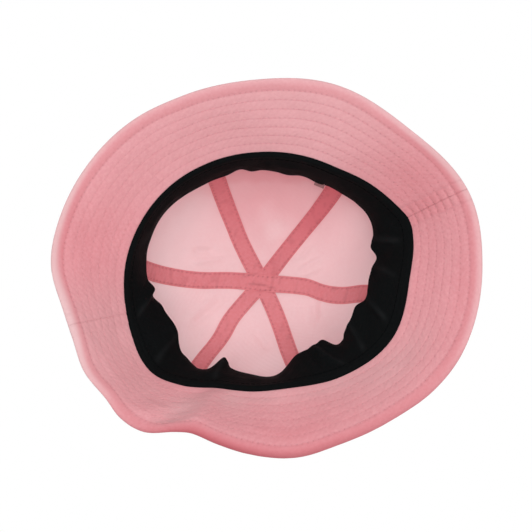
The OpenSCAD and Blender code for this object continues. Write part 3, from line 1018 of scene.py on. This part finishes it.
def station_path(angle, t):
    """The brim's plain edge at one share of its width, for the length of a cut."""
    cos_a, sin_a, opening_r, opening_z, rim_r, rim_z = station(angle)
    r = opening_r + (rim_r - opening_r) * t
    return joined(cos_a * r, sin_a * r, opening_z + (rim_z - opening_z) * t)


def cut_from_cone(angle, from_t, to_t):
    """Works out the flat cut of a half of the brim between two shares of its width, and hands its size to
    cloth_sheet().
    """
    inner_arc, outer_arc = (lengths(station_path(angle, t))[-1] for t in (from_t, to_t))
    chord, depth, area = fan(inner_arc, outer_arc, (to_t - from_t) * BRIM_W)
    cloth_sheet(chord, depth, area)


HALVES = {
    "front": (BRIM_SEAMS["right"], BRIM_SEAMS["left"]),
    "back": (BRIM_SEAMS["left"] - 360, BRIM_SEAMS["right"]),
}


def half_angles(half, gap, columns):
    """Angles round one half of the brim, that much short of its seams, and the same from its first seam."""
    start, end = HALVES[half]
    angle = (start + gap + (end - start - 2 * gap) * np.linspace(0, 1, columns))[:, None]
    return angle, np.radians(angle - start)


def brim_skin(place, half, side):
    """One half of a skin: side is 1 for the top and -1 for the under side."""
    angle, from_seam = half_angles(half, 0.015, 930)
    run = from_seam * (around(OPENING, angle) + around(RIM, angle)) / 2
    angle, t = np.broadcast_arrays(angle, brim_fractions()[None, :])
    height, marks = skin_relief(angle, t, side)
    height = height + 0.1 * ripple(brim_point(angle, t, 0), 4.5, 41 + side)
    taper = np.sqrt(np.clip(1 - (1 - np.clip((1 - t) * BRIM_W / 1.4, 0, 1)) ** 2, 0, 1))
    outer = 0.06 + (SKIN - 0.06 + height) * taper
    inner = np.minimum(SKIN_BACK, 0.03 + 0.42 * taper)
    tuck = -0.018 * (1 - np.clip(t * BRIM_W / 2, 0, 1)) if side > 0 else 0
    face = brim_point(angle, t + tuck, side * outer)
    back = brim_point(angle, t * 0.997 + 0.001, side * inner)
    obj = build("brim_" + place + "_" + half, face, back, (run, t * BRIM_W), [FACE, WRONG], marks)
    cut_from_cone(angle[:, 0], 0, 1)
    return obj


def interlining(half):
    """The stiff layer between the two skins of one half of the brim."""
    angle, from_seam = half_angles(half, 0.1, 240)
    from_t, to_t = 0.01, 0.975
    t = np.linspace(from_t, to_t, 60)[None, :]
    face = brim_point(angle, t, 0.33)
    back = brim_point(angle, t, -0.33)
    obj = build("interlining_" + half, face, back, (from_seam * 115, t * BRIM_W), [CANVAS])
    cut_from_cone(angle[:, 0], from_t, to_t)
    return finish_piece(obj, "brim_interlining_" + half)


for half in HALVES:
    finish_piece(brim_skin("upper", half, 1), "brim_top_" + half)
    finish_piece(brim_skin("lower", half, -1), "brim_under_" + half)
for half in HALVES:
    interlining(half)


def brim_line(row, side):
    """One row of stitching round the brim, above it or below."""
    t = ROW_FRACTIONS[row]
    angle = np.linspace(-2, 362, 1500)
    level = SKIN + 0.05
    path = brim_point(angle, t, side * level)
    normal = brim_point(angle, t, side * (level + 1)) - path
    return path, normal, row_phase(row, angle), 0, round(ROW_RUN[row][-1] / STITCH)


for place, side, node in (("upper", 1, "brim_needle_thread"), ("lower", -1, "brim_bobbin_thread")):
    lines = [brim_line(row, side) for row in range(BRIM_ROWS)]
    sew("stitches_" + place, lines, node, PINK_THREAD)


# ---- Sweatband ----

# Thickness of one ply, radius of the fold, and the folded band's middle in from its back
PLY = 0.6
BAND_FOLD = 0.4
BAND_MIDDLE = PLY / 2 + BAND_FOLD
# Small waves of the free edge besides its lean: [angle, millimetres further in]
EDGE_RIPPLE = [
    [0, -1.4], [3, 0.6], [6, 1.6], [12, -2.4], [18, -0.3], [24, -0.8], [30, -2.4], [36, -3.2], [42, 1.9],
    [50, 0.8], [60, -2.2], [63, -4.4], [68, -3.4], [72, 3.8], [78, 0.6], [86, -1.3], [100, -0.4],
    [110, -1.8], [120, -1], [133, -1.2], [136, 2.4], [139.5, 4.2], [142.5, -4.6], [147, -6], [150, -4],
    [156, 0.6], [165, 1], [176, 0.8], [180, 0.6], [184, 0.4], [189, -2.6], [192, 0.4], [197, -1.8],
    [204, -1.2], [212, -1], [225, -2.2], [240, -2.6], [255, -2.2], [266, -1.5], [274, -3.4], [279.5, -1.1],
    [286, -2.4], [294, -2], [300, -1.2], [308, -3], [318, -1.8], [324, -3], [336, -1.5], [346, -1.5],
    [354, -3.2],
]
# The band's lower edge turns out over the brim seam: up the band, and in from its back
LIP_UP = [0.5, 0.05, -0.25, -0.45, -0.65, -0.9, -1.2, -1.5]
LIP_OFF = [1.09, 0.95, 0.65, 0.2, -0.3, -0.8, -1.3, -1.8]
# How much further out that edge lies than its plain place: [angle, millimetres]
LIP_REACH = [[0, 0.6], [60, 0.8], [105, 0.7], [150, 0.7], [180, 0.2], [230, 0], [300, 0.1], [340, 0.4]]


def fold_path(top, foot, middle, half, rows):
    """Middle of cloth folded over at its top, in section: up it, and off to the side."""
    turn = np.linspace(0, np.pi, 9)[1:-1]
    up = np.concatenate([
        np.linspace(0, top, rows[0]), top + half * np.sin(turn), np.linspace(top, foot, rows[1])])
    off = np.concatenate([
        np.full(rows[0], middle - half), middle - half * np.cos(turn), np.full(rows[1], middle + half)])
    return up, off


def both_faces(up, off, thick):
    """The two faces of cloth of that thickness, along its middle in section."""
    way = unit(joined(np.gradient(up), np.gradient(off))) * thick / 2
    return (up + way[:, 1], off - way[:, 0]), (up - way[:, 1], off + way[:, 0])


# Folds that stand up from the band's face: [angle, slant, width, height]
BAND_FOLDS = [
    [188, 14, 1.8, 2.4], [193, 10, 1.3, -1.2], [77, 9, 2, 2.2], [83, 4, 1.2, -1.2], [139.5, 2, 3, 1.8],
    [20, -10, 2, 1.8], [5, -8, 1.6, 1.6], [40, -12, 1.8, 1.8], [58, -9, 1.6, 1.6], [165, 6, 3, 1.6],
]


def band_wave(angle, u):
    """How far the band's cloth swells towards the head, beyond its plain lean."""
    a = np.radians(angle)
    where = joined(95 * np.cos(a), 95 * np.sin(a), 34 * u)
    middle = ease(0.12, 0.5, u) * (1 - 0.75 * ease(0.75, 1, u))
    calm = ease(6, 14, np.abs(angle - LABEL_ANGLE))
    wave = 0.7 + 1.5 * ripple(where * [1, 1, 0.5], 16, 51) + 0.5 * ripple(where, 7, 52)
    fold = sum(depth * dent(angle - at - lean * (u - 0.6), width) for at, lean, width, depth in BAND_FOLDS)
    return (wave + fold) * middle * calm


def band_point(angle, up, off):
    """up is along the band from its sewn edge; off is in from its back, towards the head."""
    cos_a, sin_a, opening_r, opening_z = station(angle)[:4]
    u = np.clip(up / BAND_H, 0, 1)
    sewn_r = opening_r - CLOTH - BAND_GAP
    lean = around(BAND_LEAN, angle) - CLOTH - BAND_GAP
    inward = lean + around(EDGE_RIPPLE, angle) * ease(0.35, 1, u)
    rise = np.sqrt(BAND_H ** 2 - lean ** 2)
    upright = 1 - ease(0, 4, up)
    k = off + band_wave(angle, u)
    out = 1 - (1 - rise / BAND_H) * (1 - upright)
    reach = around(LIP_REACH, angle) * ease(0.3, 1.8, -off)
    r = sewn_r + reach - inward * up.clip(0) / BAND_H - k * out
    z = opening_z - BAND_OVERLAP + rise / BAND_H * up.clip(0) + up.clip(None, 0)
    z = z - k * lean / BAND_H * (1 - upright)
    return joined(cos_a * r, sin_a * r, z - reach)


def sweatband():
    """The black band, folded over at its free edge and turned out over the brim seam at its foot."""
    up, off = fold_path(BAND_H - BAND_FOLD - PLY / 2, 0.9, BAND_MIDDLE, BAND_FOLD, (34, 40))
    up = np.concatenate([up, LIP_UP])
    off = np.concatenate([off, LIP_OFF])
    (outer_up, outer_off), (inner_up, inner_off) = both_faces(up, off, PLY)
    angle = np.linspace(0, 360, 721)[:-1][:, None]
    face = band_point(angle, outer_up[None, :], outer_off[None, :])
    back = band_point(angle, inner_up[None, :], inner_off[None, :])
    u = (outer_up / BAND_H)[None, :]
    # Painted highlights just beside the crest of each fold that stands up from the band's face
    lit = sum(dent(angle - at - lean * (u - 0.6) + 1, 1.3) for at, lean, _, depth in BAND_FOLDS if depth > 0)
    lit = lit * ease(0.05, 0.3, u) * (0.5 + 0.5 * ripple(face, 9, 53))
    run = lengths(joined(up, off))
    cloth = (np.radians(angle) * 90, run[None, :])
    obj = build("sweatband_folded", face, back, cloth, [BLACK], {"painted_light": (lit, lit)}, wrap=True)
    around_head = lengths(station_path(np.linspace(0, 360, 721), 0))[-1]
    cloth_sheet(run[-1], around_head - 2 * np.pi * (CLOTH + BAND_GAP))
    return finish_piece(obj, "sweatband")


sweatband()


def band_line():
    """The stitching round the band's foot."""
    angle = np.linspace(-2, 362, 1500)
    front = PLY + 2 * BAND_FOLD
    path = band_point(angle, np.full_like(angle, 4.0), front + 0.02)
    normal = band_point(angle, np.full_like(angle, 4.0), front + 1.02) - path
    run = lengths(path)
    start, end = np.interp([0, 360], angle, run)
    count = round((end - start) / STITCH)
    return path, normal, (run - start) / (end - start) * count, 0, count


sew("stitches_sweatband", [band_line()], "sweatband_stitch_thread", BLACK_THREAD)


# ---- Care label ----

def care_label():
    """A plain satin tape folded double, its fold uppermost, behind the sweatband."""
    cos_a, sin_a, opening_r, opening_z = (float(x) for x in station(LABEL_ANGLE)[:4])
    before, after = (crown_point(np.array(LABEL_ANGLE + turn), np.array(0.0), 0) for turn in (-3.0, 3.0))
    edge = unit(after - before)
    sin_l, cos_l = math.sin(math.radians(LABEL_LEAN)), math.cos(math.radians(LABEL_LEAN))
    upward = np.array([-edge[1] * sin_l, edge[0] * sin_l, cos_l])
    outward = np.array([edge[1] * cos_l, -edge[0] * cos_l, sin_l])
    foot_r = opening_r - CLOTH - BAND_GAP / 2
    foot = np.array([cos_a * foot_r, sin_a * foot_r, opening_z])
    side = np.linspace(-LABEL_W / 2, LABEL_W / 2, 16)[:, None]
    up, off = fold_path(LABEL_L - 0.15, 0, 0, 0.08, (50, 50))
    face, back = (
        foot + side[..., None] * edge + up_at[None, :, None] * upward + off_at[None, :, None] * outward
        for up_at, off_at in both_faces(up, off, 0.14))
    run = lengths(joined(up, off))
    obj = build("label_folded", face, back, (side, run[None, :]), [LABEL])
    cloth_sheet(LABEL_W, run[-1])
    return finish_piece(obj, "care_label", "label")


care_label()


# ---- Floor, light and camera ----

def floor():
    """A pale floor that fades into the background, seen only from above."""
    half = 0.6
    mesh = bpy.data.meshes.new("floor")
    corners = [(-half, -half, 0), (half, -half, 0), (half, half, 0), (-half, half, 0)]
    mesh.from_pydata(corners, [], [(0, 1, 2, 3)])
    material, tree, shader = new_material("floor")
    grain = add(tree, "TexNoise", {"Scale": 60, "Detail": 3}, "Fac")
    tone = mixed(tree, grain, (0.80, 0.79, 0.78, 1), (0.84, 0.83, 0.82, 1))
    feed(shader, {"Base Color": tone, "Roughness": 0.8})
    away = add(tree, "VectorMath", {0: add(tree, "TexCoord", {}, "Object")}, "Value", operation="LENGTH")
    gone = add(tree, "MapRange", {"Value": away, "From Min": 0.16, "From Max": 0.5},
               interpolation_type="SMOOTHSTEP")
    below = add(tree, "NewGeometry", {}, "Backfacing")
    hidden = add(tree, "Math", {0: gone, 1: below}, operation="MAXIMUM")
    clear = add(tree, "BsdfTransparent", {})
    surface = add(tree, "MixShader", {0: hidden, 1: shader.outputs[0], 2: clear})
    feed(tree.nodes["Material Output"], {"Surface": surface})
    mesh.materials.append(material)
    obj = add_object("floor", mesh)
    for ray in ("diffuse", "glossy", "transmission", "shadow"):
        setattr(obj, "visible_" + ray, False)


floor()


def world(seen, ambient):
    """A white world: of one strength as the background, and of another as light."""
    scene_world = bpy.data.worlds.new("world")
    bpy.context.scene.world = scene_world
    scene_world.use_nodes = True
    tree = scene_world.node_tree
    on_camera = add(tree, "LightPath", {}, "Is Camera Ray")
    level = add(tree, "MapRange", {"Value": on_camera, "To Min": ambient, "To Max": seen})
    feed(tree.nodes["Background"], {"Color": (1, 1, 1, 1), "Strength": level})


world(1.0, 0.43)

# The camera's tilt from straight up, its turn about that, its distance in metres, and what it looks at
TILT = math.radians(5)
TURN = math.radians(20)
DISTANCE = 0.9
TARGET = np.array([-0.0029, -0.0013, 0.020])
RIGHT = np.array([math.cos(TURN), math.sin(TURN), 0])
AHEAD = np.array([math.sin(TURN) * math.sin(TILT), -math.cos(TURN) * math.sin(TILT), math.cos(TILT)])
UP = np.cross(RIGHT, AHEAD)


def area_light(name, place, size, power):
    """A round light at that place in metres, aimed at the hat."""
    aim = (0, 0, 0.05)
    data = bpy.data.lights.new(name, "AREA")
    data.shape = "DISK"
    data.size = size
    data.energy = power
    obj = bpy.data.objects.new(name, data)
    obj.location = place
    away = np.array(place, float) - np.array(aim)
    obj.rotation_euler = Vector(away).to_track_quat("Z", "Y").to_euler()
    obj.visible_camera = False
    bpy.context.scene.collection.objects.link(obj)


area_light("front", TARGET - 1.5 * AHEAD, 1.6, 17)
area_light("image_top", TARGET - 0.7 * AHEAD + 1.3 * UP, 1.0, 2.8)
area_light("image_bottom", TARGET - 0.7 * AHEAD - 1.3 * UP, 1.0, 2)
area_light("image_left", TARGET - 0.5 * AHEAD - 1.3 * RIGHT, 1.0, 1.7)
area_light("image_right", TARGET - 0.5 * AHEAD + 1.3 * RIGHT, 1.0, 2.4)
area_light("above_key", (-1.1, -1.3, 1.7), 1.2, 24)
area_light("above_fill", (1.5, -0.6, 1.1), 1.4, 12)
area_light("above_back", (0.3, 1.6, 1.4), 1.2, 14)


def camera():
    """Looks up into the hat from below, a little from the side."""
    data = bpy.data.cameras.new("camera")
    data.sensor_width = 36
    data.lens = 91.9
    obj = bpy.data.objects.new("camera", data)
    place = TARGET - DISTANCE * AHEAD
    columns = np.column_stack([RIGHT, UP, -AHEAD, place])
    obj.matrix_world = Matrix([*columns.tolist(), [0, 0, 0, 1]])
    bpy.context.scene.collection.objects.link(obj)
    bpy.context.scene.camera = obj


camera()
bpy.context.scene.view_settings.view_transform = "Standard"
